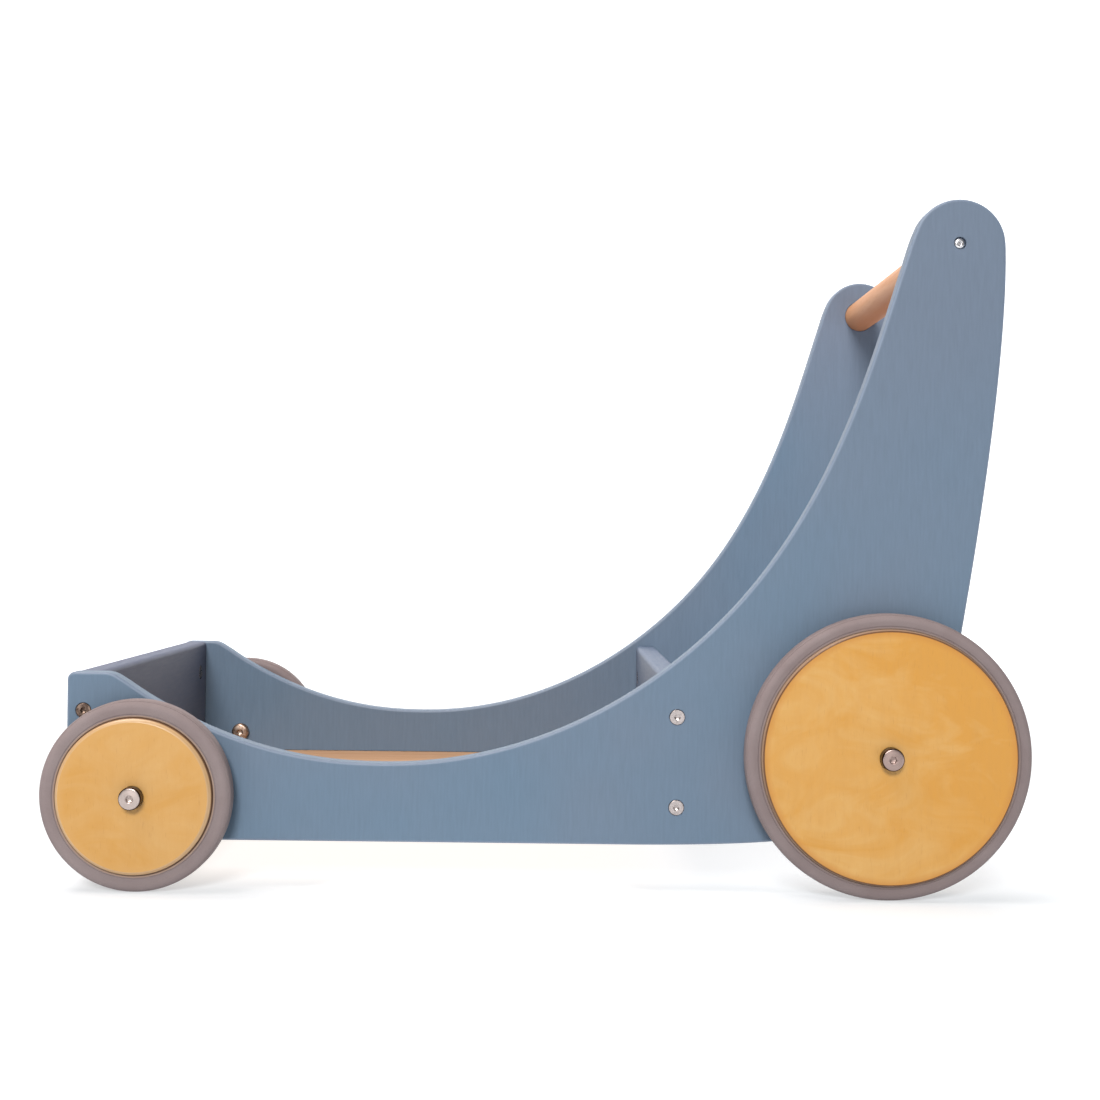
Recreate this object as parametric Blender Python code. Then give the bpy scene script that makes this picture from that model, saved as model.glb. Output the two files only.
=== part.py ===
"""Wooden push walker wagon: a low cargo tray on four rolling wheels, with a push bar at the back.

Metres, +Z up. The wagon rolls forward along -X, so its push bar is at +X and its left side at -Y.
The origin lies on the ground, under the middle of the wagon.
"""
import math

import bmesh
import bpy
from mathutils import Matrix, Vector

# Wheels
WHEELBASE = 0.4302
FRONT_WHEEL_RADIUS = 0.0550
REAR_WHEEL_RADIUS = 0.0820
FRONT_TYRE_DEPTH = 0.0098
REAR_TYRE_DEPTH = 0.0087
TYRE_WIDTH = 0.0138
TREAD_WIDTH = 0.0050
TYRE_SHOULDER = 0.0048
DISC_THICKNESS = 0.0205
DISC_EASING = 0.0030

# Axles, each a capped sleeve nut and the bolt that is screwed into it from inside the tray
SLEEVE_RADIUS = 0.0050
AXLE_HEAD_RADIUS = 0.0065
SLEEVE_HEAD_HEIGHT = 0.0062
AXLE_BOLT_RADIUS = 0.0030
AXLE_BOLT_HEAD_HEIGHT = 0.0045
AXLE_BOLT_SHORT_OF_FACE = 0.0080
AXLE_HEAD_EASING = 0.0008
AXLE_KEY_RADIUS = 0.0024
AXLE_KEY_DEPTH = 0.0025
BUSH_WALL = 0.0007
SPACER_RADIUS = 0.0080
SPACER_THICKNESS = 0.0013

# Side panels: places along the wagon count from an axle, heights from the panels' lower edge
PANEL_SPAN = 0.3000
PANEL_THICKNESS = 0.0120
PANEL_EASING = 0.0018
NOSE_OVERHANG = 0.0446
NOSE_FLAT = 0.0215
NOSE_RADIUS = 0.0045
NOSE_ROUND = 0.0145
NOSE_SLOPE = math.radians(34.3)
WALL_HEIGHT = 0.0970
SADDLE_BEHIND_NOSE = 0.1852
SADDLE_HEIGHT = 0.0457
HORN_RADIUS = 0.0268
HORN_LEAN = math.radians(19.5)
HORN_BACK_LEAN = math.radians(3.4)
HORN_BACK_RUN = 0.0130
KNEE_BACK_SHARE = 0.700
KNEE_UP_SHARE = 0.338
KNEE_SLOPE = math.radians(51.3)
HEEL_BEHIND_AXLE = 0.0336
HEEL_HEIGHT = 0.0575
HEEL_LEAN = math.radians(10.4)
HEEL_RUN_UP = 0.2110
HEEL_RUN_DOWN = 0.0500
BELLY_AHEAD_OF_AXLE = 0.1566
BELLY_RUN = 0.1300

# Shares of a curve's chord for which the panels' top edge keeps its heading at the curve's ends
SLOPE_PULL = 0.515
SADDLE_FRONT_PULL = 0.184
SADDLE_REAR_PULL = 0.429
KNEE_LOWER_PULL = 0.250
KNEE_UPPER_PULL = 0.399
HORN_PULL = 0.241

# Front and rear boards, held by countersunk bolts in barrel nuts
BOARD_THICKNESS = 0.0150
BOARD_DROP = 0.0002
BOARD_SETBACK = 0.0022
BOARD_TOP_EASING = 0.0030
BOARD_BASE_EASING = 0.0015
REAR_BOARD_AHEAD_OF_AXLE = 0.1196
BOLT_BELOW_TOP = 0.0222
BOLT_RADIUS = 0.0025
BOLT_HEAD_RADIUS = 0.0045
BOLT_HEAD_LAND = 0.0003
BOLT_HEAD_DEPTH = 0.0025
BOLT_KEY_RADIUS = 0.0017
BOLT_KEY_DEPTH = 0.0015
BOLT_PAST_NUT = 0.0040
NUT_RADIUS = 0.0050
NUT_FROM_BOARD_END = 0.0180
NUT_BACK_WALL = 0.0027

# Floor board, held in grooves all round
FLOOR_THICKNESS = 0.0060
FLOOR_BELOW_AXLE_HEAD = 0.0073
FLOOR_ABOVE_EDGE = 0.0082
FLOOR_TO_NUT_HOLE = 0.0025
GROOVE_DEPTH = 0.0050

# Push bar and its screws
BAR_RADIUS = 0.0110
BAR_BEHIND_AXLE = 0.0417
BAR_HEIGHT = 0.3524
BAR_ABOVE_HORN_CENTRE = 0.0012
BAR_END_EASING = 0.0010
BAR_SOCKET_DEPTH = 0.0050
BAR_SCREW_RADIUS = 0.0018
BAR_SCREW_LENGTH = 0.0340
BAR_SCREW_HEAD_RADIUS = 0.0033
BAR_SCREW_HEAD_HEIGHT = 0.0025
BAR_SCREW_SINK = 0.0008
BAR_SCREW_KEY_RADIUS = 0.0014
BAR_SCREW_KEY_DEPTH = 0.0014
BAR_COUNTERBORE_RADIUS = 0.0037

# Clearances
CLEARANCE = 0.0003
BORE_SPARE = 0.0020
CUT_PAST = 0.0010

# Facets
WHEEL_SIDES = 40
AXLE_SIDES = 24
FASTENER_SIDES = 12
KEY_SIDES = 6
EASING_STEPS = 2
SHOULDER_STEPS = 3
NOSE_STEPS = 3
NOSE_ROUND_STEPS = 4
HORN_STEPS = 14
LONG_CURVE_STEPS = 12
SHORT_CURVE_STEPS = 8
SHADE_ANGLE = math.radians(35)

# Places that follow from the sizes above
OVERALL_LENGTH = WHEELBASE + FRONT_WHEEL_RADIUS + REAR_WHEEL_RADIUS
FRONT_AXLE = Vector((FRONT_WHEEL_RADIUS - OVERALL_LENGTH / 2, FRONT_WHEEL_RADIUS))
REAR_AXLE = Vector((OVERALL_LENGTH / 2 - REAR_WHEEL_RADIUS, REAR_WHEEL_RADIUS))
OUTER_FACE = PANEL_SPAN / 2
INNER_FACE = OUTER_FACE - PANEL_THICKNESS
FLOOR_TOP = FRONT_AXLE.y - AXLE_HEAD_RADIUS - FLOOR_BELOW_AXLE_HEAD
FLOOR_BASE = FLOOR_TOP - FLOOR_THICKNESS
LOWER_EDGE = FLOOR_BASE - FLOOR_ABOVE_EDGE
WALL_TOP = LOWER_EDGE + WALL_HEIGHT
NOSE = FRONT_AXLE.x - NOSE_OVERHANG
BOARD_TOP = WALL_TOP - BOARD_DROP
FRONT_BOARD_MIDDLE = NOSE + BOARD_SETBACK + BOARD_THICKNESS / 2
REAR_BOARD_MIDDLE = REAR_AXLE.x - REAR_BOARD_AHEAD_OF_AXLE
BOLT_HEIGHTS = {
    "upper": BOARD_TOP - BOLT_BELOW_TOP,
    "lower": FLOOR_TOP + FLOOR_TO_NUT_HOLE + NUT_RADIUS + CLEARANCE,
}
BAR = Vector((REAR_AXLE.x + BAR_BEHIND_AXLE, LOWER_EDGE + BAR_HEIGHT))
HORN_CENTRE = BAR - Vector((0, BAR_ABOVE_HORN_CENTRE))

# Distances out from a panel's outer face to the pieces stacked on an axle
SPACER_END = CLEARANCE + SPACER_THICKNESS
DISC_BACK = SPACER_END + CLEARANCE
DISC_FRONT = DISC_BACK + DISC_THICKNESS
SLEEVE_HEAD_BACK = DISC_FRONT + CLEARANCE
SLEEVE_HEAD_FRONT = SLEEVE_HEAD_BACK + SLEEVE_HEAD_HEIGHT
SLEEVE_END = CLEARANCE - PANEL_THICKNESS
AXLE_BOLT_SEAT = -PANEL_THICKNESS - CLEARANCE
AXLE_BOLT_END = DISC_FRONT - AXLE_BOLT_SHORT_OF_FACE

# Depths in from a panel's outer face
BOLT_LENGTH = PANEL_THICKNESS + NUT_FROM_BOARD_END + NUT_RADIUS + BOLT_PAST_NUT
BAR_SCREW_SEAT = BAR_SCREW_SINK + BAR_SCREW_HEAD_HEIGHT
BAR_END = PANEL_THICKNESS - BAR_SOCKET_DEPTH + CLEARANCE

SIDES = {"left": -1, "right": 1}
AXLES = {
    "front": (FRONT_AXLE, FRONT_WHEEL_RADIUS, FRONT_TYRE_DEPTH),
    "rear": (REAR_AXLE, REAR_WHEEL_RADIUS, REAR_TYRE_DEPTH),
}
BOARDS = {"front": (FRONT_BOARD_MIDDLE, 1), "rear": (REAR_BOARD_MIDDLE, -1)}


def clear_scene():
    """Remove whatever the scene holds."""
    for thing in list(bpy.data.objects):
        bpy.data.objects.remove(thing, do_unlink=True)


def finish(name, colour, roughness, metallic=0.0):
    """A plain Principled material."""
    material = bpy.data.materials.new(name)
    material.use_nodes = True
    shader = material.node_tree.nodes["Principled BSDF"]
    shader.inputs["Base Color"].default_value = (*colour, 1.0)
    shader.inputs["Roughness"].default_value = roughness
    shader.inputs["Metallic"].default_value = metallic
    material.diffuse_color = (*colour, 1.0)
    return material


def place(name, bm, material, location=(0, 0, 0), rotation=(0, 0, 0), parent=None):
    """Turn a bmesh into a named object of the scene, shaded smooth up to the sharp edges."""
    bmesh.ops.recalc_face_normals(bm, faces=bm.faces)
    mesh = bpy.data.meshes.new(name)
    bm.to_mesh(mesh)
    bm.free()
    mesh.shade_smooth()
    mesh.set_sharp_from_angle(angle=SHADE_ANGLE)
    thing = bpy.data.objects.new(name, mesh)
    if material:
        mesh.materials.append(material)
    thing.location = location
    thing.rotation_euler = rotation
    thing.parent = parent
    bpy.context.collection.objects.link(thing)
    return thing


def cut(thing, name, bm):
    """Take a hidden cutter, made in world coordinates, out of an object."""
    cutter = place(name, bm, None)
    cutter.hide_render = True
    cutter.display_type = "WIRE"
    modifier = thing.modifiers.new(name, "BOOLEAN")
    modifier.operation = "DIFFERENCE"
    modifier.solver = "EXACT"
    modifier.object = cutter


def outward(side):
    """Rotation that points a turned piece's own +Z out of the left or right side."""
    return (-side * math.pi / 2, 0, 0)


def turn_matrix(side, at, distance):
    """Matrix that lays a turned piece along Y, its zero at a distance out from the middle."""
    turned_over = Matrix.Rotation(-side * math.pi / 2, 4, "X")
    return Matrix.Translation((at.x, side * distance, at.y)) @ turned_over


def turned(bm, profile, sides, ring=False, flats=False, matrix=None):
    """Add a body turned about Z to a bmesh.

    The profile holds (radius, height) pairs, or (radius, height, corners) for a keyed stretch.
    A ring's profile is closed on itself. Other profiles start and end on the axis. With flats,
    the facets and not their edges lie at the given radius.
    """
    step = 2 * math.pi / sides
    start = step / 2 if flats else 0.0
    spread = 1 / math.cos(step / 2) if flats else 1.0
    rings = []
    for radius, height, *corners in profile:
        if radius == 0:
            rings.append([bm.verts.new((0, 0, height))])
            continue
        loop = []
        for index in range(sides):
            angle = start + index * step
            reach = radius * spread
            if corners:
                half = math.pi / corners[0]
                reach *= math.cos(half) / math.cos((angle + 2 * half) % (2 * half) - half)
            loop.append(bm.verts.new((reach * math.cos(angle), reach * math.sin(angle), height)))
        rings.append(loop)
    pairs = list(zip(rings, rings[1:]))
    if ring:
        pairs.append((rings[-1], rings[0]))
    for lower, upper in pairs:
        for index in range(sides):
            after = (index + 1) % sides
            if len(lower) == 1:
                bm.faces.new((lower[0], upper[index], upper[after]))
            elif len(upper) == 1:
                bm.faces.new((lower[index], lower[after], upper[0]))
            else:
                bm.faces.new((lower[index], lower[after], upper[after], upper[index]))
    if matrix:
        new_points = [point for loop in rings for point in loop]
        bmesh.ops.transform(bm, matrix=matrix, verts=new_points)


def turned_piece(name, material, profile, sides, location, rotation, parent=None, **shape):
    """A named piece that is one turned body."""
    bm = bmesh.new()
    turned(bm, profile, sides, **shape)
    return place(name, bm, material, location, rotation, parent)


def box(bm, low, high):
    """Add a box between two corners to a bmesh."""
    size = Vector(high) - Vector(low)
    middle = (Vector(high) + Vector(low)) / 2
    matrix = Matrix.Translation(middle) @ Matrix.Diagonal((*size, 1.0))
    bmesh.ops.create_cube(bm, size=1.0, matrix=matrix)


def prism(bm, outline, start, end):
    """Add an outline of (x, z) points, extruded along Y, to a bmesh. Returns its end edges."""
    face = bm.faces.new([bm.verts.new((x, start, z)) for x, z in outline])
    grown = bmesh.ops.extrude_face_region(bm, geom=[face])["geom"]
    far_points = [item for item in grown if isinstance(item, bmesh.types.BMVert)]
    bmesh.ops.translate(bm, verts=far_points, vec=(0, end - start, 0))
    return [edge for edge in bm.edges if edge.verts[0].co.y == edge.verts[1].co.y]


def arc(centre, radius, start, end, steps):
    """Points of an arc between two angles, measured from +X towards +Z."""
    points = []
    for index in range(steps + 1):
        angle = start + (end - start) * index / steps
        points.append(centre + radius * Vector((math.cos(angle), math.sin(angle))))
    return points


def bend(start, start_run, end, end_run, steps):
    """Points of a cubic curve between two points, leaving out both of them.

    start_run leads out of the start, and end_run leads on beyond the end.
    """
    first = start + start_run
    second = end - end_run
    points = []
    for index in range(1, steps):
        t = index / steps
        s = 1 - t
        points.append(s**3 * start + 3 * s * s * t * first + 3 * s * t * t * second + t**3 * end)
    return points


def heading(angle):
    """Unit direction in the side view, measured from +X towards +Z."""
    return Vector((math.cos(angle), math.sin(angle)))


def panel_outline():
    """Side view of a panel, from the nose over the saddle and the horn, and back underneath."""
    quarter = math.pi / 2
    nose_round = Vector((NOSE + NOSE_FLAT, WALL_TOP - NOSE_ROUND))
    slope = nose_round + NOSE_ROUND * heading(quarter - NOSE_SLOPE)
    saddle = Vector((NOSE + SADDLE_BEHIND_NOSE, LOWER_EDGE + SADDLE_HEIGHT))
    horn_front = HORN_CENTRE + HORN_RADIUS * heading(math.pi - HORN_LEAN)
    horn_back = HORN_CENTRE + HORN_RADIUS * heading(HORN_BACK_LEAN)
    rise = horn_front - saddle
    knee = saddle + Vector((KNEE_BACK_SHARE * rise.x, KNEE_UP_SHARE * rise.y))
    heel = Vector((REAR_AXLE.x + HEEL_BEHIND_AXLE, LOWER_EDGE + HEEL_HEIGHT))
    belly = Vector((REAR_AXLE.x - BELLY_AHEAD_OF_AXLE, LOWER_EDGE))
    top_corner = Vector((NOSE + NOSE_RADIUS, WALL_TOP - NOSE_RADIUS))
    base_corner = Vector((NOSE + NOSE_RADIUS, LOWER_EDGE + NOSE_RADIUS))

    dip_chord = (saddle - slope).length
    lower_chord = (knee - saddle).length
    upper_chord = (horn_front - knee).length
    level = Vector((1, 0))
    down_slope = heading(-NOSE_SLOPE)
    up_knee = heading(KNEE_SLOPE)
    up_horn = heading(quarter - HORN_LEAN)
    down_back = heading(HORN_BACK_LEAN - quarter)
    down_heel = -heading(quarter - HEEL_LEAN)

    outline = arc(top_corner, NOSE_RADIUS, 2 * quarter, quarter, NOSE_STEPS)
    outline += arc(nose_round, NOSE_ROUND, quarter, quarter - NOSE_SLOPE, NOSE_ROUND_STEPS)
    outline += bend(slope, SLOPE_PULL * dip_chord * down_slope,
                    saddle, SADDLE_FRONT_PULL * dip_chord * level, LONG_CURVE_STEPS)
    outline += [saddle]
    outline += bend(saddle, SADDLE_REAR_PULL * lower_chord * level,
                    knee, KNEE_LOWER_PULL * lower_chord * up_knee, LONG_CURVE_STEPS)
    outline += [knee]
    outline += bend(knee, KNEE_UPPER_PULL * upper_chord * up_knee,
                    horn_front, HORN_PULL * upper_chord * up_horn, SHORT_CURVE_STEPS)
    outline += arc(HORN_CENTRE, HORN_RADIUS, math.pi - HORN_LEAN, HORN_BACK_LEAN, HORN_STEPS)
    outline += bend(horn_back, HORN_BACK_RUN * down_back,
                    heel, HEEL_RUN_UP * down_heel, SHORT_CURVE_STEPS)
    outline += [heel]
    outline += bend(heel, HEEL_RUN_DOWN * down_heel, belly, -BELLY_RUN * level, LONG_CURVE_STEPS)
    outline += [belly]
    outline += arc(base_corner, NOSE_RADIUS, 3 * quarter, 2 * quarter, NOSE_STEPS)
    return outline


def board_outline(middle):
    """Cross-section of a front or rear board, rounded most along its top edges."""
    half = BOARD_THICKNESS / 2
    corners = (
        (middle - half, BOARD_TOP, 1, -1, BOARD_TOP_EASING, math.pi),
        (middle + half, BOARD_TOP, -1, -1, BOARD_TOP_EASING, math.pi / 2),
        (middle + half, LOWER_EDGE, -1, 1, BOARD_BASE_EASING, 0.0),
        (middle - half, LOWER_EDGE, 1, 1, BOARD_BASE_EASING, -math.pi / 2),
    )
    outline = []
    for x, z, inward_x, inward_z, easing, start in corners:
        centre = Vector((x + inward_x * easing, z + inward_z * easing))
        outline += arc(centre, easing, start, start - math.pi / 2, 2 * EASING_STEPS)
    return outline


def bore_profile(radius, start, end):
    """Profile of a plain round hole's cutter."""
    return [(0, start), (radius, start), (radius, end), (0, end)]


def bar_seat_profile():
    """Cutter for the push bar's socket, screw hole and counterbore, by depth from outside."""
    screw_hole = BAR_SCREW_RADIUS + CLEARANCE
    seat = BAR_SCREW_SEAT + CLEARANCE
    socket = BAR_RADIUS + CLEARANCE
    floor = PANEL_THICKNESS - BAR_SOCKET_DEPTH
    past = PANEL_THICKNESS + CUT_PAST
    return [(0, -CUT_PAST), (BAR_COUNTERBORE_RADIUS, -CUT_PAST), (BAR_COUNTERBORE_RADIUS, seat),
            (screw_hole, seat), (screw_hole, floor), (socket, floor), (socket, past), (0, past)]


def countersink_profile():
    """Cutter for a board bolt's hole and countersink in a panel, by depth from outside."""
    head = BOLT_HEAD_RADIUS + CLEARANCE
    hole = BOLT_RADIUS + CLEARANCE
    land = BOLT_HEAD_LAND + CLEARANCE / 2
    cone_end = BOLT_HEAD_DEPTH + CLEARANCE / 2
    past = PANEL_THICKNESS + CUT_PAST
    return [(0, -CUT_PAST), (head, -CUT_PAST), (head, land), (hole, cone_end), (hole, past), (0, past)]


def make_panels(paint):
    """The two side panels, with their holes, sockets and floor grooves."""
    for label, side in SIDES.items():
        bm = bmesh.new()
        rims = prism(bm, panel_outline(), side * OUTER_FACE, side * INNER_FACE)
        bmesh.ops.bevel(bm, geom=rims, offset=PANEL_EASING, segments=EASING_STEPS,
                        profile=0.5, affect="EDGES")
        panel = place(f"side_panel_{label}", bm, paint)
        holes = bmesh.new()
        for axle, *_ in AXLES.values():
            through = bore_profile(SLEEVE_RADIUS + CLEARANCE, -PANEL_THICKNESS - CUT_PAST, CUT_PAST)
            turned(holes, through, AXLE_SIDES, matrix=turn_matrix(side, axle, OUTER_FACE))
        turned(holes, bar_seat_profile(), AXLE_SIDES, matrix=turn_matrix(-side, BAR, -OUTER_FACE))
        for middle, _ in BOARDS.values():
            for height in BOLT_HEIGHTS.values():
                at = Vector((middle, height))
                turned(holes, countersink_profile(), FASTENER_SIDES,
                       matrix=turn_matrix(-side, at, -OUTER_FACE))
        groove_start = FRONT_BOARD_MIDDLE + BOARD_THICKNESS / 2 - GROOVE_DEPTH
        groove_end = REAR_BOARD_MIDDLE - BOARD_THICKNESS / 2 + GROOVE_DEPTH
        groove_mouth = side * (INNER_FACE - CUT_PAST)
        groove_floor = side * (INNER_FACE + GROOVE_DEPTH)
        box(holes, (groove_start, min(groove_mouth, groove_floor), FLOOR_BASE - CLEARANCE),
            (groove_end, max(groove_mouth, groove_floor), FLOOR_TOP + CLEARANCE))
        cut(panel, f"side_panel_{label}_cuts", holes)


def make_boards(paint):
    """The front and rear boards, with bolt bores, barrel nut holes and the floor groove."""
    half_length = INNER_FACE - CLEARANCE
    bore_depth = BOLT_LENGTH - PANEL_THICKNESS + BORE_SPARE
    for label, (middle, inward) in BOARDS.items():
        bm = bmesh.new()
        prism(bm, board_outline(middle), -half_length, half_length)
        board = place(f"{label}_board", bm, paint)
        inner_side = middle + inward * BOARD_THICKNESS / 2
        bolt_bores = bmesh.new()
        nut_holes = bmesh.new()
        for side in SIDES.values():
            for height in BOLT_HEIGHTS.values():
                bore = bore_profile(BOLT_RADIUS + CLEARANCE, -bore_depth, CUT_PAST)
                turned(bolt_bores, bore, FASTENER_SIDES,
                       matrix=turn_matrix(side, Vector((middle, height)), INNER_FACE))
                hole = bore_profile(NUT_RADIUS + CLEARANCE, NUT_BACK_WALL - CLEARANCE - BOARD_THICKNESS,
                                    CUT_PAST)
                along = side * (INNER_FACE - NUT_FROM_BOARD_END)
                lay_down = Matrix.Rotation(inward * math.pi / 2, 4, "Y")
                turned(nut_holes, hole, FASTENER_SIDES,
                       matrix=Matrix.Translation((inner_side, along, height)) @ lay_down)
        groove = bmesh.new()
        groove_ends = (inner_side + inward * CUT_PAST, inner_side - inward * GROOVE_DEPTH)
        box(groove, (min(groove_ends), -INNER_FACE - CUT_PAST, FLOOR_BASE - CLEARANCE),
            (max(groove_ends), INNER_FACE + CUT_PAST, FLOOR_TOP + CLEARANCE))
        cut(board, f"{label}_board_bolt_bores", bolt_bores)
        cut(board, f"{label}_board_nut_holes", nut_holes)
        cut(board, f"{label}_board_groove", groove)


def make_floor(plywood):
    """The floor board, its edges in the grooves of the panels and boards."""
    reach = GROOVE_DEPTH - CLEARANCE
    front = FRONT_BOARD_MIDDLE + BOARD_THICKNESS / 2 - reach
    rear = REAR_BOARD_MIDDLE - BOARD_THICKNESS / 2 + reach
    bm = bmesh.new()
    box(bm, (front, -INNER_FACE - reach, FLOOR_BASE), (rear, INNER_FACE + reach, FLOOR_TOP))
    place("floor_board", bm, plywood)


def make_bar(beech, steel):
    """The push bar between the panels, and the screw that holds each end."""
    half = OUTER_FACE - BAR_END
    pilot = BAR_SCREW_RADIUS + CLEARANCE
    pilot_floor = OUTER_FACE - BAR_SCREW_SINK - BAR_SCREW_LENGTH - BORE_SPARE
    rim = BAR_RADIUS - BAR_END_EASING
    profile = [(0, -pilot_floor), (pilot, -pilot_floor), (pilot, -half), (rim, -half),
               (BAR_RADIUS, BAR_END_EASING - half), (BAR_RADIUS, half - BAR_END_EASING),
               (rim, half), (pilot, half), (pilot, pilot_floor), (0, pilot_floor)]
    turned_piece("push_bar", beech, profile, AXLE_SIDES, (BAR.x, 0, BAR.y), outward(1))
    key_floor = BAR_SCREW_SINK + BAR_SCREW_KEY_DEPTH
    screw_end = BAR_SCREW_SINK + BAR_SCREW_LENGTH
    screw = [(0, key_floor), (BAR_SCREW_KEY_RADIUS, key_floor, KEY_SIDES),
             (BAR_SCREW_KEY_RADIUS, BAR_SCREW_SINK, KEY_SIDES), (BAR_SCREW_HEAD_RADIUS, BAR_SCREW_SINK),
             (BAR_SCREW_HEAD_RADIUS, BAR_SCREW_SEAT), (BAR_SCREW_RADIUS, BAR_SCREW_SEAT),
             (BAR_SCREW_RADIUS, screw_end), (0, screw_end)]
    for label, side in SIDES.items():
        turned_piece(f"push_bar_screw_{label}", steel, screw, FASTENER_SIDES,
                     (BAR.x, side * OUTER_FACE, BAR.y), outward(-side))


def make_board_fasteners(steel):
    """Countersunk bolts through the panels, and the barrel nuts that hold them in the boards."""
    bolt = [(0, BOLT_KEY_DEPTH), (BOLT_KEY_RADIUS, BOLT_KEY_DEPTH, KEY_SIDES),
            (BOLT_KEY_RADIUS, 0, KEY_SIDES), (BOLT_HEAD_RADIUS, 0), (BOLT_HEAD_RADIUS, BOLT_HEAD_LAND),
            (BOLT_RADIUS, BOLT_HEAD_DEPTH), (BOLT_RADIUS, BOLT_LENGTH), (0, BOLT_LENGTH)]
    nut_length = BOARD_THICKNESS - NUT_BACK_WALL
    nut = bore_profile(NUT_RADIUS, -nut_length, 0)
    for label, (middle, inward) in BOARDS.items():
        inner_side = middle + inward * BOARD_THICKNESS / 2
        for side_label, side in SIDES.items():
            for row, height in BOLT_HEIGHTS.items():
                tail = f"{side_label}_{row}"
                turned_piece(f"{label}_board_bolt_{tail}", steel, bolt, FASTENER_SIDES,
                             (middle, side * OUTER_FACE, height), outward(-side))
                along = side * (INNER_FACE - NUT_FROM_BOARD_END)
                barrel = turned_piece(f"{label}_board_nut_{tail}", steel, nut, FASTENER_SIDES,
                                      (inner_side, along, height), (0, inward * math.pi / 2, 0))
                thread = bmesh.new()
                reach = NUT_RADIUS + CUT_PAST
                turned(thread, bore_profile(BOLT_RADIUS + CLEARANCE, -reach, reach), FASTENER_SIDES,
                       matrix=turn_matrix(side, Vector((middle, height)), abs(along)))
                cut(barrel, f"{label}_board_nut_{tail}_thread", thread)


def disc_profile(radius):
    """Closed profile of a wheel disc, by distance out from its panel."""
    bore = SLEEVE_RADIUS + 2 * CLEARANCE + BUSH_WALL + CLEARANCE
    back = arc(Vector((radius - DISC_EASING, DISC_BACK + DISC_EASING)), DISC_EASING,
               -math.pi / 2, 0, EASING_STEPS)
    front = arc(Vector((radius - DISC_EASING, DISC_FRONT - DISC_EASING)), DISC_EASING,
                0, math.pi / 2, EASING_STEPS)
    return [(bore, DISC_BACK), *map(tuple, back), *map(tuple, front), (bore, DISC_FRONT)]


def tyre_profile(radius, depth):
    """Closed profile of a tyre, a ring with a narrow tread and round shoulders."""
    middle = (DISC_BACK + DISC_FRONT) / 2
    half = TYRE_WIDTH / 2
    seat = radius - depth + CLEARANCE
    shoulder_width = half - TREAD_WIDTH / 2
    profile = [(seat, middle - half)]
    for side in (-1, 1):
        for index in range(SHOULDER_STEPS + 1):
            turn = math.pi / 2 * (index if side < 0 else SHOULDER_STEPS - index) / SHOULDER_STEPS
            profile.append((radius - TYRE_SHOULDER * (1 - math.sin(turn)),
                            middle + side * (half - shoulder_width * (1 - math.cos(turn)))))
    profile.append((seat, middle + half))
    return profile


def make_wheels(birch, rubber, nylon, steel):
    """The four wheels, each rolling on its own sleeve, and what holds them to the panels."""
    bush_bore = SLEEVE_RADIUS + CLEARANCE
    bush = [(bush_bore, DISC_BACK), (bush_bore + BUSH_WALL, DISC_BACK),
            (bush_bore + BUSH_WALL, DISC_FRONT), (bush_bore, DISC_FRONT)]
    spacer = [(bush_bore, CLEARANCE), (SPACER_RADIUS, CLEARANCE),
              (SPACER_RADIUS, SPACER_END), (bush_bore, SPACER_END)]
    thread = AXLE_BOLT_RADIUS + CLEARANCE
    thread_end = AXLE_BOLT_END + BORE_SPARE
    eased = AXLE_HEAD_RADIUS - AXLE_HEAD_EASING
    sleeve_key = SLEEVE_HEAD_FRONT - AXLE_KEY_DEPTH
    sleeve = [(0, thread_end), (thread, thread_end), (thread, SLEEVE_END), (SLEEVE_RADIUS, SLEEVE_END),
              (SLEEVE_RADIUS, SLEEVE_HEAD_BACK), (AXLE_HEAD_RADIUS, SLEEVE_HEAD_BACK),
              (AXLE_HEAD_RADIUS, SLEEVE_HEAD_FRONT - AXLE_HEAD_EASING), (eased, SLEEVE_HEAD_FRONT),
              (AXLE_KEY_RADIUS, SLEEVE_HEAD_FRONT, KEY_SIDES), (AXLE_KEY_RADIUS, sleeve_key, KEY_SIDES),
              (0, sleeve_key)]
    bolt_face = AXLE_BOLT_SEAT - AXLE_BOLT_HEAD_HEIGHT
    bolt_key = bolt_face + AXLE_KEY_DEPTH
    bolt = [(0, AXLE_BOLT_END), (AXLE_BOLT_RADIUS, AXLE_BOLT_END), (AXLE_BOLT_RADIUS, AXLE_BOLT_SEAT),
            (AXLE_HEAD_RADIUS, AXLE_BOLT_SEAT), (AXLE_HEAD_RADIUS, bolt_face + AXLE_HEAD_EASING),
            (eased, bolt_face), (AXLE_KEY_RADIUS, bolt_face, KEY_SIDES),
            (AXLE_KEY_RADIUS, bolt_key, KEY_SIDES), (0, bolt_key)]
    for end, (axle, radius, tyre_depth) in AXLES.items():
        for label, side in SIDES.items():
            wheel = f"{end}_{label}"
            hub = bpy.data.objects.new(f"{wheel}_wheel_axis", None)
            hub.location = (axle.x, side * OUTER_FACE, axle.y)
            bpy.context.collection.objects.link(hub)
            at_hub = ((0, 0, 0), outward(side), hub)
            turned_piece(f"{wheel}_wheel_disc", birch, disc_profile(radius - tyre_depth), WHEEL_SIDES,
                         *at_hub, ring=True, flats=True)
            turned_piece(f"{wheel}_tyre", rubber, tyre_profile(radius, tyre_depth), WHEEL_SIDES,
                         *at_hub, ring=True, flats=True)
            turned_piece(f"{wheel}_hub_bush", nylon, bush, FASTENER_SIDES, *at_hub, ring=True)
            turned_piece(f"{wheel}_spacer", nylon, spacer, FASTENER_SIDES, *at_hub, ring=True)
            turned_piece(f"{wheel}_axle_sleeve", steel, sleeve, FASTENER_SIDES, *at_hub)
            turned_piece(f"{wheel}_axle_bolt", steel, bolt, FASTENER_SIDES, *at_hub)


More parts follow.
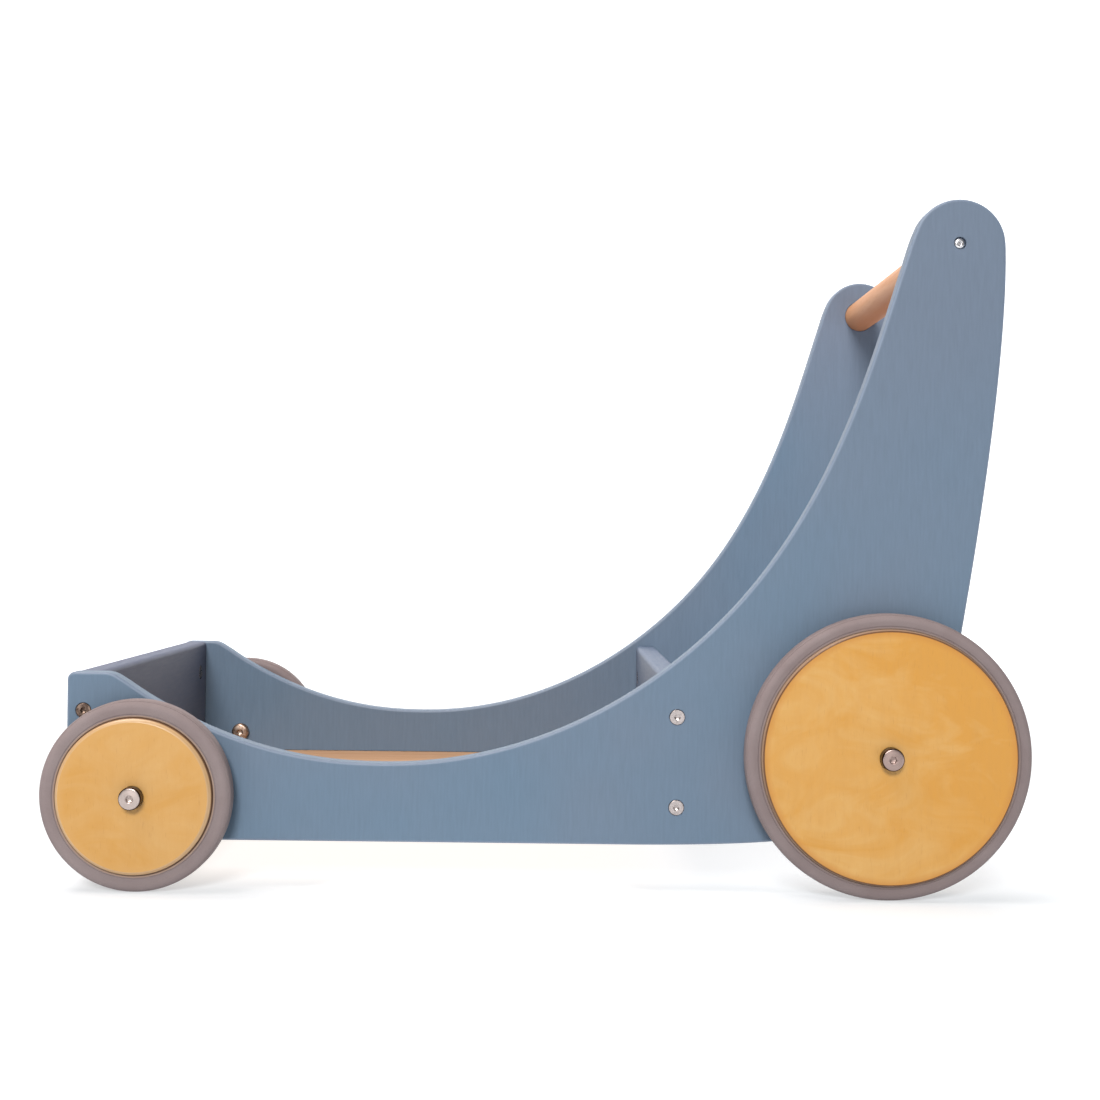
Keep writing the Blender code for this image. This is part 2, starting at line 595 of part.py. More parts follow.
def main():
    clear_scene()
    paint = finish("blue_grey_paint", (0.20, 0.26, 0.34), 0.55)
    plywood = finish("floor_plywood", (0.52, 0.33, 0.19), 0.60)
    beech = finish("beech", (0.60, 0.40, 0.26), 0.50)
    birch = finish("lacquered_birch", (0.72, 0.40, 0.12), 0.40)
    rubber = finish("taupe_rubber", (0.31, 0.27, 0.28), 0.75)
    nylon = finish("white_nylon", (0.75, 0.75, 0.72), 0.50)
    steel = finish("nickel_steel", (0.62, 0.61, 0.59), 0.25, 1.0)
    make_panels(paint)
    make_boards(paint)
    make_floor(plywood)
    make_bar(beech, steel)
    make_board_fasteners(steel)
    make_wheels(birch, rubber, nylon, steel)


main()
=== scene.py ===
"""Finished surfaces, studio light and camera for the wooden push walker wagon.

Metres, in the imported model's frame: the wagon rolls forward along -X, and the camera looks along +Y.
"""
import math

import bmesh
import bpy
from mathutils import Matrix, Vector


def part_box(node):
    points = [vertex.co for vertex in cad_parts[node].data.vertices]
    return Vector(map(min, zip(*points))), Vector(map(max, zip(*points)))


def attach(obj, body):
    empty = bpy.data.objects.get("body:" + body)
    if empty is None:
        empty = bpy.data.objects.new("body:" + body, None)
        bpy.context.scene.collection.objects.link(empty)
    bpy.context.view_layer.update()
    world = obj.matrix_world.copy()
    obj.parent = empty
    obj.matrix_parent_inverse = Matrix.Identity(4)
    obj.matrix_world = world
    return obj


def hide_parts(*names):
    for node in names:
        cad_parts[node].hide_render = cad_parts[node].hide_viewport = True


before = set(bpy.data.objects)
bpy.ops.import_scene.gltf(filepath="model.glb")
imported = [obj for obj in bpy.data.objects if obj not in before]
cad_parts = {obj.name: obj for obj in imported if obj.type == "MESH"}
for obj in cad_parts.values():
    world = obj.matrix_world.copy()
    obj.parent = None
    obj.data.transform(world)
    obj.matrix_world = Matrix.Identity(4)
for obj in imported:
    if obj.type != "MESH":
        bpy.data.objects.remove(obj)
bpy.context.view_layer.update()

# Facets of the finished surfaces
WHEEL_SIDES = 168
BAR_SIDES = 96
HEAD_SIDES = 72
KEY_SIDES = 6
EASING_STEPS = 6
SHOULDER_STEPS = 10
OUTLINE_STEP = 0.0035
SHADE_ANGLE = math.radians(32)

# A run of the frame's outline this many times longer than its neighbours is straight; others get steps
STRAIGHT_RATIO = 5
FEWEST_STEPS = 3

# Points this close to a plane lie in it
TOUCH = 0.00002

# Play between pieces, and how far a cutter reaches past a face
GAP = 0.0003
CUT_PAST = 0.0010

# Boards
BOARD_TOP_EASING = 0.0030
BOARD_BASE_EASING = 0.0015

# Wheel discs
DISC_BEVEL_WIDTHS = {"front": 0.0029, "rear": 0.0012}
DISC_BEVEL_DEPTH = 0.0034
DISC_BULGES = {"front": 0.00035, "rear": 0.0002}
DISC_BORE_EASING = 0.0004

# Tyres: a thin lip beside the disc, a groove, a flat side, and a rounded shoulder with a moulding line
TYRE_GAP = 0.0001
LIP_WIDTH = 0.0010
LIP_EASING = 0.0002
SIDE_GROOVE_WIDTH = 0.0008
SIDE_GROOVE_DEPTH = 0.0003
SHOULDER_RISE = 0.0048
TREAD_WIDTH = 0.0050
LINE_STEP = 6
LINE_WIDTH = 0.0003
LINE_DEPTH = 0.0003

# Axles: sleeves with keyed heads outside, and bolts with round heads inside
SLEEVE_RADIUS = 0.0050
HEAD_EASING = 0.0012
HEAD_EASING_TURN = 80
HEAD_CROWN = 0.0003
AXLE_KEY_RADIUS = 0.0021
AXLE_KEY_DEPTH = 0.0026
KEY_CHAMFER = 0.0003
KEY_POINT_SHARE = 1 / 3
AXLE_BOLT_RADIUS = 0.0030
AXLE_BOLT_HEAD_HEIGHT = 0.0045
AXLE_BOLT_EASING = 0.0020

# Board bolts and their barrel nuts
BOLT_RADIUS = 0.0025
BOLT_HEAD_DEPTH = 0.0025
BOLT_RIM = 0.0003
BOLT_KEY_RADIUS = 0.0016
BOLT_KEY_DEPTH = 0.0018
NUT_SLOT_WIDTH = 0.0014
NUT_SLOT_DEPTH = 0.0012

# Push bar and its sunk screws
BAR_END_EASING = 0.0010
BAR_SCREW_RADIUS = 0.0018
BAR_SCREW_HEAD_RADIUS = 0.0033
BAR_SCREW_HEAD_HEIGHT = 0.0025
BAR_SCREW_CROWN = 0.0007
BAR_SCREW_KEY_RADIUS = 0.0014
BAR_COUNTERBORE = 0.0037

# Places that follow from the frame
PANEL_LOW, PANEL_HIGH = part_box("side_panel_right")
INNER_FACE = PANEL_LOW.y
OUTER_FACE = PANEL_HIGH.y
PANEL_THICKNESS = OUTER_FACE - INNER_FACE
SIDES = {"left": -1, "right": 1}
ENDS = ("front", "rear")
ROWS = ("upper", "lower")

# Camera: the side view, a little above the tray
CAMERA_AT = (0.00533, -1.0448, 0.20053)
CAMERA_ROLL = 0.0117
CAMERA_SENSOR = 36.0
CAMERA_LENS = 50.364
CAMERA_SHIFT = (0.00227, -0.0039)

# White sweep under and behind the wagon, which glows more where its shadows would be too deep
SWEEP_FRONT = -4.0
SWEEP_START = 2.2
SWEEP_RADIUS = 1.2
SWEEP_HEIGHT = 4.5
SWEEP_HALF = 5.0
SWEEP_STEPS = 12
SWEEP_COLOUR = (0.42, 0.45, 0.475, 1.0)
SWEEP_ROUGHNESS = 0.9
FLOOR_GLOW = 0.445
FAR_GLOW = 1.0
FAR_GLOW_REACH = (0.5, 1.8)

# Brighter floor patches: ramps up and down along X from an axle, what is left, the ramp across Y, and glow
FLOOR_PATCHES = ((("front", -0.04, 0.03), ("rear", -0.12, 0.00), 0.2, (0.094, 0.176), 0.885),
                 (("front", 0.07, 0.13), ("rear", -0.17, -0.11), 0.0, (0.160, 0.240), 0.885),
                 (("rear", 0.05, 0.12), ("rear", 0.50, 1.00), 0.0, (0.200, 0.300), 0.600))

# Soft boxes: name, place, width, power, colour and whether gloss shows them
LIGHT_AIM = (0.0, 0.0, 0.12)
SOFT_BOXES = (("key", (-0.5, -4.4, 2.6), 1.6, 208.0, (1.0, 0.98, 0.96), True),
              ("top", (-0.9, -0.2, 2.3), 1.6, 54.0, (1.0, 0.90, 0.84), True),
              ("fill", (-0.3, 2.9, 2.2), 1.6, 36.0, (1.0, 0.94, 0.90), False))

# The world's colour, and its brightness as a light and as it shows behind the sweep
WORLD_COLOUR = (1.0, 0.97, 0.95, 1.0)
WORLD_LIGHT = 0.20
WORLD_WHITE = 1.10


def tint(red, green, blue):
    """Linear RGBA of a colour given as display values from 0 to 255."""
    linear = []
    for value in (red, green, blue):
        share = value / 255
        linear.append(share / 12.92 if share <= 0.04045 else ((share + 0.055) / 1.055) ** 2.4)
    return (*linear, 1.0)


# Paint: waves of grain along the axes, cool, warm and upper tints, and heights between which upper comes in.
# The upper tints are painted light, warmer and greyer where light falls on the panels' tops, and the right
# panel's tints are a lighter copy of the left's, as painted light on its inner face.
PANEL_GRAIN = (620, 620, 60)
BOARD_GRAIN = (620, 60, 620)
PANEL_PAINTS = {"left": (tint(90, 113, 134), tint(96, 113, 132), tint(93, 107, 125), (0.14, 0.34)),
                "right": (tint(92, 114, 136), tint(97, 114, 134), tint(100, 112, 131), (0.28, 0.38))}
# Painted shade: the boards' tints are darker and purpler than the panels', most of all at the front board's
# top
BOARD_SHADED_PAINTS = {"front": (tint(95, 108, 132), tint(100, 109, 130), tint(72, 79, 104), (0.06, 0.13)),
                "rear": (tint(95, 111, 135), tint(100, 112, 133), tint(91, 105, 129), (0.06, 0.13))}

# Paint on the boards' outward faces, as on the panels and free of the board tints' painted shade, and how
# deep it comes in
OUTER_PAINT = tint(93, 113, 133)
OUTER_DEPTH = 0.0025

# Painted highlight on rounded edges, a paler tint: shares of their width where it is in and starts to go, and
# what is left
EDGE_HIGHLIGHT_PAINT = tint(111, 125, 144)
EDGE_HIGHLIGHT_IN = 0.15
EDGE_HIGHLIGHT_OUT = 0.5
EDGE_HIGHLIGHT_LEFT = 0.2

# Lacquer of the wheel discs: wood, the way it deepens, ring, rim, and a dark line with its distance inside
# and its width. The line is painted shadow round the disc's edge by the tyre, and the rear rim's dull grey is
# its ply edge with painted shade.
BIRCHES = {"front": {"pale": tint(191, 149, 88), "deep": tint(186, 137, 63), "lean": (-0.35, -0.5, 0.0),
                     "ring": tint(189, 144, 80), "rim": tint(186, 153, 112),
                     "shadow_line_inside": 0.00025, "shadow_line_width": 0.0007},
           "rear": {"pale": tint(196, 154, 89), "deep": tint(190, 136, 52), "lean": (1.0, 0.4, 0.0),
                    "ring": tint(180, 122, 48), "rim": tint(152, 126, 104),
                    "shadow_line_inside": 0.0012, "shadow_line_width": 0.0006}}

# Past the edge of a disc's face: where the ring and the rim come in, and the rim's plies with their lines
RING_START = -0.0042
RING_END = -0.0004
RIM_BLEND = 0.0005
RIM_PLIES = (0.0004, 0.0012)
PLY = 0.0007
PLY_LINE = (0.0002, 0.0006)

# Rubber of the tyres: dark and pale tints, the front ones lighter as painted light, and how much of the lip's
# paler tint, painted bounce light from the disc, shows
RUBBERS = {"front": (tint(123, 110, 110), tint(131, 119, 119), 0.7),
           "rear": (tint(119, 106, 106), tint(127, 115, 115), 0.25)}

# Distances past the lip over which its painted bounce light goes, and over which the painted shade beside the
# disc fades as the rubber gets paler
LIP_BOUNCE_BLEND = (-0.0003, 0.0001)
LIP_SHADE_REACH = (0.0, 0.0045)

# Steel of the axle heads: bright and dull tints of the face, lighter at the front than at the rear as painted
# reflections
HUB_STEELS = {"front": (tint(199, 186, 181), tint(183, 168, 162)),
              "rear": (tint(183, 162, 156), tint(155, 134, 128))}

# The axle heads' turned rings, the tint of their sides, which is painted shade and dark reflection, and where
# it and the polish come in
TURNING_PITCH = 0.0004
HUB_SIDE_SHADE = tint(52, 34, 26)
SIDE_SHADE_BLEND = (-0.0008, -0.0004)
POLISH_BLEND = (-0.0020, -0.0010)

# Nickel of the other fasteners: bright and dull tints, and the range of roughness.
# Beside the plain nickel are lit and shaded copies of it: brighter for the bar screws as a painted highlight,
# darker for the front bolts and the nuts as painted dark reflection and shade, and brown for the inner axle
# bolts as a painted reflection of the tray's plywood
NICKELS = {"nickel_steel": (tint(197, 188, 186), tint(183, 174, 172), (0.20, 0.34)),
           "bright_reflection_steel": (tint(232, 231, 232), tint(206, 205, 208), (0.20, 0.34)),
           "dark_reflection_steel": (tint(150, 128, 114), tint(88, 72, 64), (0.20, 0.34)),
           "plywood_reflection_steel": (tint(190, 170, 156), tint(140, 116, 100), (0.32, 0.46))}

# Share of the push bar's thickness that is its under side, darkened as painted shade
UNDER_SHADE_SHARE = 0.4


class Look:
    """A procedural material: its shader, and short ways to add the nodes that feed it."""

    def __init__(self, name, specular=0.5, metallic=0.0):
        self.material = bpy.data.materials.new(name)
        self.material.use_nodes = True
        self.tree = self.material.node_tree
        self.shader = self.tree.nodes["Principled BSDF"]
        self.shader.inputs["Specular IOR Level"].default_value = specular
        self.shader.inputs["Metallic"].default_value = metallic

    def node(self, kind, inputs=None, **settings):
        """A node with its settings, and its inputs linked or set by name or number."""
        node = self.tree.nodes.new(kind)
        for name, value in settings.items():
            setattr(node, name, value)
        for name, value in (inputs or {}).items():
            if isinstance(value, bpy.types.NodeSocket):
                self.tree.links.new(value, node.inputs[name])
            else:
                node.inputs[name].default_value = value
        return node

    def feed(self, name, value):
        """Link a value to one of the shader's inputs."""
        self.tree.links.new(value, self.shader.inputs[name])

    def place(self):
        """Coordinates in the piece's own frame."""
        return self.node("ShaderNodeTexCoord").outputs["Object"]

    def from_axis(self):
        """Distance from the axis that a turned piece was made about."""
        level = self.node("ShaderNodeVectorMath", {0: self.place(), 1: (1.0, 1.0, 0.0)}, operation="MULTIPLY")
        return self.node("ShaderNodeVectorMath", {0: level.outputs[0]}, operation="LENGTH").outputs["Value"]

    def noise(self, stretch, detail=2.0, roughness=0.55, distortion=0.0, shift=False):
        """A noise value from 0 to 1, with stretch waves per metre along each axis.

        With shift, pieces at different places get different stretches of it.
        """
        vector = self.place()
        if shift:
            where = self.node("ShaderNodeObjectInfo").outputs["Location"]
            vector = self.node("ShaderNodeVectorMath", {0: vector, 1: where}, operation="ADD").outputs[0]
        vector = self.node("ShaderNodeMapping", {"Vector": vector, "Scale": stretch}).outputs[0]
        inputs = {"Vector": vector, "Scale": 1.0, "Detail": detail, "Roughness": roughness,
                  "Distortion": distortion}
        return self.node("ShaderNodeTexNoise", inputs).outputs["Fac"]

    def spread(self, value, low, high, start=0.0, end=1.0):
        """A value mapped from low..high to start..end, and clamped there."""
        inputs = {"Value": value, "From Min": low, "From Max": high, "To Min": start, "To Max": end}
        return self.node("ShaderNodeMapRange", inputs).outputs[0]

    def math(self, operation, first, second):
        """Arithmetic on two values."""
        return self.node("ShaderNodeMath", {0: first, 1: second}, operation=operation).outputs[0]

    def mix(self, share, first, second):
        """A mix of two colours."""
        return self.node("ShaderNodeMix", {0: share, 6: first, 7: second}, data_type="RGBA").outputs[2]

    def shade(self, colour, strength):
        """A colour made lighter or darker by a factor."""
        return self.node("ShaderNodeVectorMath", {0: colour, "Scale": strength}, operation="SCALE").outputs[0]

    def bump(self, height, distance):
        """Raise the surface by a height from 0 to 1, times a distance."""
        self.feed("Normal", self.node("ShaderNodeBump", {"Height": height, "Distance": distance}).outputs[0])


def painted_wood(name, grain, cool, warm, upper, heights, outer=None, easing=None):
    """Satin blue-grey paint, thin enough to show the wood's fibres. grain gives their waves along the axes.

    Cool and warm clouds of tint change to the upper tint between two heights; the upper tint is painted light
    and shade. Outer gives the two places along X between which the outer paint comes in. Easing gives the
    width of a side panel's rounded edges, on which a paler tint is painted as a highlight.
    """
    look = Look(name, 0.38)
    fibres = look.noise(grain, 4.0, 0.6)
    clouds = look.noise((9, 9, 9))
    skin = look.noise((2400, 2400, 2400), 1.0)
    at = look.node("ShaderNodeSeparateXYZ", {0: look.place()}).outputs
    body = look.mix(look.spread(clouds, 0.3, 0.7), cool, warm)
    body = look.mix(look.spread(at["Z"], *heights), body, upper)
    if outer:
        body = look.mix(look.spread(at["X"], *outer), body, OUTER_PAINT)
    if easing:
        # Painted highlight: a paler tint along the panel's rounded edges
        across = look.math("ABSOLUTE", at["Y"], 0.0)
        depth = look.math("MINIMUM", look.math("SUBTRACT", across, INNER_FACE),
                          look.math("SUBTRACT", OUTER_FACE, across))
        edge_highlight = look.math("MINIMUM", look.spread(depth, 0.0, EDGE_HIGHLIGHT_IN * easing),
                         look.spread(depth, EDGE_HIGHLIGHT_OUT * easing, easing, 1.0, EDGE_HIGHLIGHT_LEFT))
        body = look.mix(edge_highlight, body, EDGE_HIGHLIGHT_PAINT)
    look.feed("Base Color", look.shade(body, look.spread(fibres, 0.30, 0.72, 0.945, 1.05)))
    look.feed("Roughness", look.spread(fibres, 0.25, 0.75, 0.46, 0.58))
    look.bump(look.math("ADD", fibres, look.math("MULTIPLY", skin, 0.3)), 0.00006)
    return look.material


def lacquered_birch(name, radius, bevel_width, pale, deep, lean, ring, rim, shadow_line_inside, shadow_line_width):
    """Amber lacquer over a birch face, with a tinted ring at the face's edge and a bevelled rim outside it.

    The tint deepens towards the side that lean points to. A dark line of painted shadow runs round inside the
    disc's radius, by the tyre.
    """
    look = Look(name, 0.45)
    fibres = look.noise((330, 60, 330), 5.0, 0.62, shift=True)
    flame = look.noise((22, 34, 22), 4.0, 0.55, 1.5, shift=True)
    pores = look.noise((1300, 160, 1300), 1.0, shift=True)
    along = look.node("ShaderNodeVectorMath", {0: look.place(), 1: lean}, operation="DOT_PRODUCT")
    figure = look.math("SUBTRACT", flame, look.spread(along.outputs["Value"], 0.0, 0.06, 0.0, 0.25))
    body = look.mix(look.spread(figure, 0.30, 0.70), deep, pale)
    body = look.mix(look.spread(fibres, 0.40, 0.75, 0.0, 0.25), body, tint(177, 130, 62))
    body = look.mix(look.spread(pores, 0.66, 0.74, 0.0, 0.15), body, tint(142, 92, 42))
    from_axis = look.from_axis()
    past_face = look.math("SUBTRACT", from_axis, radius - bevel_width)
    body = look.mix(look.spread(past_face, RING_START, RING_END, 0.0, 0.8), body, ring)
    body = look.mix(look.spread(past_face, 0.0, RIM_BLEND), body, rim)
    depth = look.node("ShaderNodeSeparateXYZ", {0: look.place()}).outputs["Z"]
    plies = look.spread(look.math("PINGPONG", depth, PLY), *PLY_LINE, 0.0, 0.16)
    on_rim = look.spread(past_face, *RIM_PLIES)
    body = look.mix(look.math("MULTIPLY", plies, on_rim), body, tint(134, 84, 37))
    # Painted shadow: a dark line round the disc's edge, by the tyre
    from_shadow_line = look.math("ABSOLUTE", look.math("SUBTRACT", from_axis, radius - shadow_line_inside), 0.0)
    body = look.mix(look.spread(from_shadow_line, shadow_line_width / 3, shadow_line_width, 0.9, 0.0), body, tint(74, 42, 22))
    look.feed("Base Color", body)
    look.feed("Roughness", look.spread(fibres, 0.2, 0.8, 0.30, 0.44))
    look.bump(fibres, 0.00003)
    look.shader.inputs["Coat Weight"].default_value = 0.2
    look.shader.inputs["Coat Roughness"].default_value = 0.25
    return look.material


def tyre_rubber(name, dark, pale, lip_radius, lip_bounce_share):
    """Matt taupe rubber with a fine moulded skin, painted bounce light on its lip and painted shade by the
    disc.
    """
    look = Look(name, 0.35)
    skin = look.noise((1900, 1900, 1900), shift=True)
    bloom = look.noise((45, 45, 45), 3.0, shift=True)
    body = look.mix(look.spread(bloom, 0.3, 0.7), dark, pale)
    body = look.mix(look.spread(skin, 0.55, 0.75, 0.0, 0.3), body, tint(107, 95, 95))
    past_lip = look.math("SUBTRACT", look.from_axis(), lip_radius)
    # Painted bounce light from the disc on the lip, and painted shade on the rubber beside the disc
    body = look.mix(look.spread(past_lip, *LIP_BOUNCE_BLEND, lip_bounce_share, 0.0), body, tint(158, 132, 112))
    look.feed("Base Color", look.shade(body, look.spread(past_lip, *LIP_SHADE_REACH, 0.93, 1.0)))
    look.feed("Roughness", look.spread(skin, 0.3, 0.7, 0.62, 0.78))
    look.bump(skin, 0.00004)
    return look.material


def beech():
    """Bare beech with its short brown flecks along the bar, and painted shade on the under side."""
    look = Look("beech", 0.2)
    fibres = look.noise((240, 20, 240), 4.0, 0.6)
    flecks = look.noise((1300, 110, 1300), 1.0)
    body = look.mix(look.spread(fibres, 0.3, 0.7), tint(190, 141, 104), tint(183, 134, 97))
    body = look.mix(look.spread(flecks, 0.62, 0.74, 0.0, 0.3), body, tint(156, 102, 62))
    low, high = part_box("push_bar")
    height = look.node("ShaderNodeSeparateXYZ", {0: look.place()}).outputs["Z"]
    # Painted shade: the bar's under side is darker and more orange
    under_shade = look.spread(height, low.z, low.z + UNDER_SHADE_SHARE * (high.z - low.z), 1.0, 0.0)
    look.feed("Base Color", look.mix(under_shade, body, tint(175, 116, 81)))
    look.feed("Roughness", look.spread(fibres, 0.2, 0.8, 0.46, 0.58))
    look.bump(fibres, 0.00005)
    return look.material


def floor_plywood():
    """Varnished plywood of the tray's floor, its grain along the wagon."""
    look = Look("floor_plywood", 0.4)
    fibres = look.noise((14, 330, 330), 5.0, 0.62)
    flame = look.noise((6, 40, 6), 2.0, 0.5, 2.0)
    body = look.mix(look.spread(flame, 0.3, 0.7), tint(184, 149, 115), tint(176, 137, 101))
    body = look.mix(look.spread(fibres, 0.35, 0.75, 0.0, 0.5), body, tint(154, 113, 78))
    look.feed("Base Color", body)
    look.feed("Roughness", look.spread(fibres, 0.2, 0.8, 0.42, 0.56))
    look.bump(fibres, 0.00005)
    return look.material


def nickel_steel(name, bright, dull, polish):
    """Nickel plate between a bright and a dull tone, with faint turning marks and a range of roughness."""
    look = Look(name, metallic=1.0)
    marks = look.noise((1100, 1100, 1100), 3.0, shift=True)
    stains = look.noise((420, 420, 420), shift=True)
    look.feed("Base Color", look.mix(look.spread(stains, 0.35, 0.65), bright, dull))
    look.feed("Roughness", look.spread(marks, 0.25, 0.75, *polish))
    look.bump(marks, 0.000006)
    return look.material


def turned_steel(name, bright, dull, face_radius):
    """Nickel with fine turned rings on its face, a polished edge, and painted shade on the side round the
    face.
    """
    look = Look(name, metallic=1.0)
    from_axis = look.from_axis()
    rings = look.spread(look.math("PINGPONG", from_axis, TURNING_PITCH), 0.0, TURNING_PITCH)
    stains = look.noise((300, 300, 300), shift=True)
    share = look.math("ADD", look.math("MULTIPLY", rings, 0.6), look.math("MULTIPLY", stains, 0.4))
    face = look.mix(share, bright, dull)
    past_face = look.math("SUBTRACT", from_axis, face_radius)
    # Painted shade and dark reflection on the head's side
    look.feed("Base Color", look.mix(look.spread(past_face, *SIDE_SHADE_BLEND), face, HUB_SIDE_SHADE))
    polish = look.spread(past_face, *POLISH_BLEND, 0.0, -0.12)
    look.feed("Roughness", look.math("ADD", look.spread(stains, 0.3, 0.7, 0.36, 0.46), polish))
    look.bump(rings, 0.000008)
    return look.material


def white_nylon():
    """Moulded nylon with a faint grain."""
    look = Look("white_nylon")
    skin = look.noise((1200, 1200, 1200), shift=True)
    look.feed("Base Color", look.mix(skin, tint(226, 224, 216), tint(212, 210, 202)))
    look.feed("Roughness", look.spread(skin, 0.3, 0.7, 0.42, 0.55))
    return look.material


def piece(node, bm, material, body="frame", matrix=None, cutter=None):
    """A finished piece for a node of the frame, cut by a cutter, with normals that keep flats flat."""
    bmesh.ops.recalc_face_normals(bm, faces=bm.faces)
    mesh = bpy.data.meshes.new(f"{node}_finished")
    bm.to_mesh(mesh)
    bm.free()
    thing = bpy.data.objects.new(f"{node}_finished", mesh)
    bpy.context.scene.collection.objects.link(thing)
    if cutter:
        bmesh.ops.recalc_face_normals(cutter, faces=cutter.faces)
        cut_mesh = bpy.data.meshes.new(f"{node}_cutter")
        cutter.to_mesh(cut_mesh)
        cutter.free()
        cut_thing = bpy.data.objects.new(f"{node}_cutter", cut_mesh)
        bpy.context.scene.collection.objects.link(cut_thing)
        modifier = thing.modifiers.new("cut", "BOOLEAN")
        modifier.operation = "DIFFERENCE"
        modifier.solver = "EXACT"
        modifier.object = cut_thing
        settle(thing)
        bpy.data.objects.remove(cut_thing)
    thing.data.shade_smooth()
    thing.data.set_sharp_from_angle(angle=SHADE_ANGLE)
    thing.modifiers.new("flats", "WEIGHTED_NORMAL").keep_sharp = True
    settle(thing)
    thing.data.materials.clear()
    thing.data.materials.append(material)
    if matrix:
        thing.matrix_world = matrix
    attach(thing, body)
    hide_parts(node)
    return thing


def settle(thing):
    """Make a piece's modifiers part of its mesh."""
    depsgraph = bpy.context.evaluated_depsgraph_get()
    result = bpy.data.meshes.new_from_object(thing.evaluated_get(depsgraph),
                                             preserve_all_data_layers=True, depsgraph=depsgraph)
    thing.modifiers.clear()
    thing.data = result


def turned(bm, profile, sides, ring=False, matrix=None):
    """Add a body turned about Z to a bmesh.

    The profile holds (radius, height) pairs, or (radius, height, corners) for a keyed stretch.
    A ring's profile is closed on itself. Other profiles start and end on the axis.
    """
    rings = []
    for radius, height, *corners in profile:
        if radius == 0:
            rings.append([bm.verts.new((0, 0, height))])
            continue
        loop = []
        for index in range(sides):
            angle = 2 * math.pi * index / sides
            reach = radius
            if corners:
                half = math.pi / corners[0]
                reach *= math.cos(half) / math.cos(angle % (2 * half) - half)
            loop.append(bm.verts.new((reach * math.cos(angle), reach * math.sin(angle), height)))
        rings.append(loop)
    pairs = list(zip(rings, rings[1:]))
    if ring:
        pairs.append((rings[-1], rings[0]))
    for lower, upper in pairs:
        for index in range(sides):
            after = (index + 1) % sides
            if len(lower) == 1:
                bm.faces.new((lower[0], upper[index], upper[after]))
            elif len(upper) == 1:
                bm.faces.new((lower[index], lower[after], upper[0]))
            else:
                bm.faces.new((lower[index], lower[after], upper[after], upper[index]))
    if matrix:
        new_points = [point for loop in rings for point in loop]
        bmesh.ops.transform(bm, matrix=matrix, verts=new_points)


def outward(side, x, z, distance):
    """Matrix that lays a turned body along Y, its own +Z out of the left or right side."""
    return Matrix.Translation((x, side * distance, z)) @ Matrix.Rotation(-side * math.pi / 2, 4, "X")


def inward(side, x, z, distance):
    """As outward, with the body's own +Z towards the middle of the wagon."""
    return Matrix.Translation((x, side * distance, z)) @ Matrix.Rotation(side * math.pi / 2, 4, "X")


def centre(node):
    """Middle of a node's box."""
    low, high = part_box(node)
    return (low + high) / 2


def round_corner(centre_radius, centre_height, radius, start, end, steps=EASING_STEPS):
    """Profile points round a corner, from one angle to another, measured from outwards towards +Z."""
    points = []
    for index in range(steps + 1):
        angle = math.radians(start + (end - start) * index / steps)
        points.append((centre_radius + radius * math.cos(angle), centre_height + radius * math.sin(angle)))
    return points


def box(bm, low, high):
    """Add a box between two corners to a bmesh."""
    size = Vector(high) - Vector(low)
    middle = (Vector(high) + Vector(low)) / 2
    matrix = Matrix.Translation(middle) @ Matrix.Diagonal((*size, 1.0))
    bmesh.ops.create_cube(bm, size=1.0, matrix=matrix)


def panel_rim(node):
    """A panel's outline at its full size, as (x, z) points in order, and the width of its eased edge."""
    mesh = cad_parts[node].data
    low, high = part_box(node)
    level = max(abs(vertex.co.y) for vertex in mesh.vertices if vertex.co.x < low.x + TOUCH)
    links = {}
    for edge in mesh.edges:
        ends = [mesh.vertices[index].co for index in edge.vertices]
        if all(abs(abs(point.y) - level) < TOUCH for point in ends):
            first, second = [(round(point.x, 6), round(point.z, 6)) for point in ends]
            if first != second:
                links.setdefault(first, set()).add(second)
                links.setdefault(second, set()).add(first)
    start = min(links)
    loop = [start]
    previous = None
    while True:
        onward = [point for point in sorted(links[loop[-1]]) if point != previous]
        previous = loop[-1]
        if onward[0] == start:
            break
        loop.append(onward[0])
    points = [Vector(point) for point in loop]
    area = sum(first.cross(second) for first, second in zip(points, points[1:] + points[:1]))
    if area < 0:
        points.reverse()
    return points, max(abs(low.y), abs(high.y)) - level


def smooth_outline(points):
    """Fine points on a smooth closed curve through the given ones, each with its direction."""
    count = len(points)
    runs = [points[(index + 1) % count] - points[index] for index in range(count)]
    straight = []
    for index in range(count):
        beside = max(runs[index - 1].length, runs[(index + 1) % count].length)
        straight.append(runs[index].length > STRAIGHT_RATIO * beside)
    headings = []
    for index in range(count):
        before, after = runs[index - 1], runs[index]
        if straight[index - 1]:
            heading = before
        elif straight[index]:
            heading = after
        else:
            heading = before / before.length_squared + after / after.length_squared
        headings.append(heading.normalized())
    fine = []
    for index in range(count):
        start, end = points[index], points[(index + 1) % count]
        length = runs[index].length
        lead, follow = headings[index] * length, headings[(index + 1) % count] * length
        steps = 1 if straight[index] else max(FEWEST_STEPS, math.ceil(length / OUTLINE_STEP))
        for step in range(steps):
            t = step / steps
            place = ((2 * t**3 - 3 * t**2 + 1) * start + (t**3 - 2 * t**2 + t) * lead
                     + (3 * t**2 - 2 * t**3) * end + (t**3 - t**2) * follow)
            way = ((6 * t**2 - 6 * t) * (start - end) + (3 * t**2 - 4 * t + 1) * lead
                   + (3 * t**2 - 2 * t) * follow)
            fine.append((place, way.normalized()))
    return fine


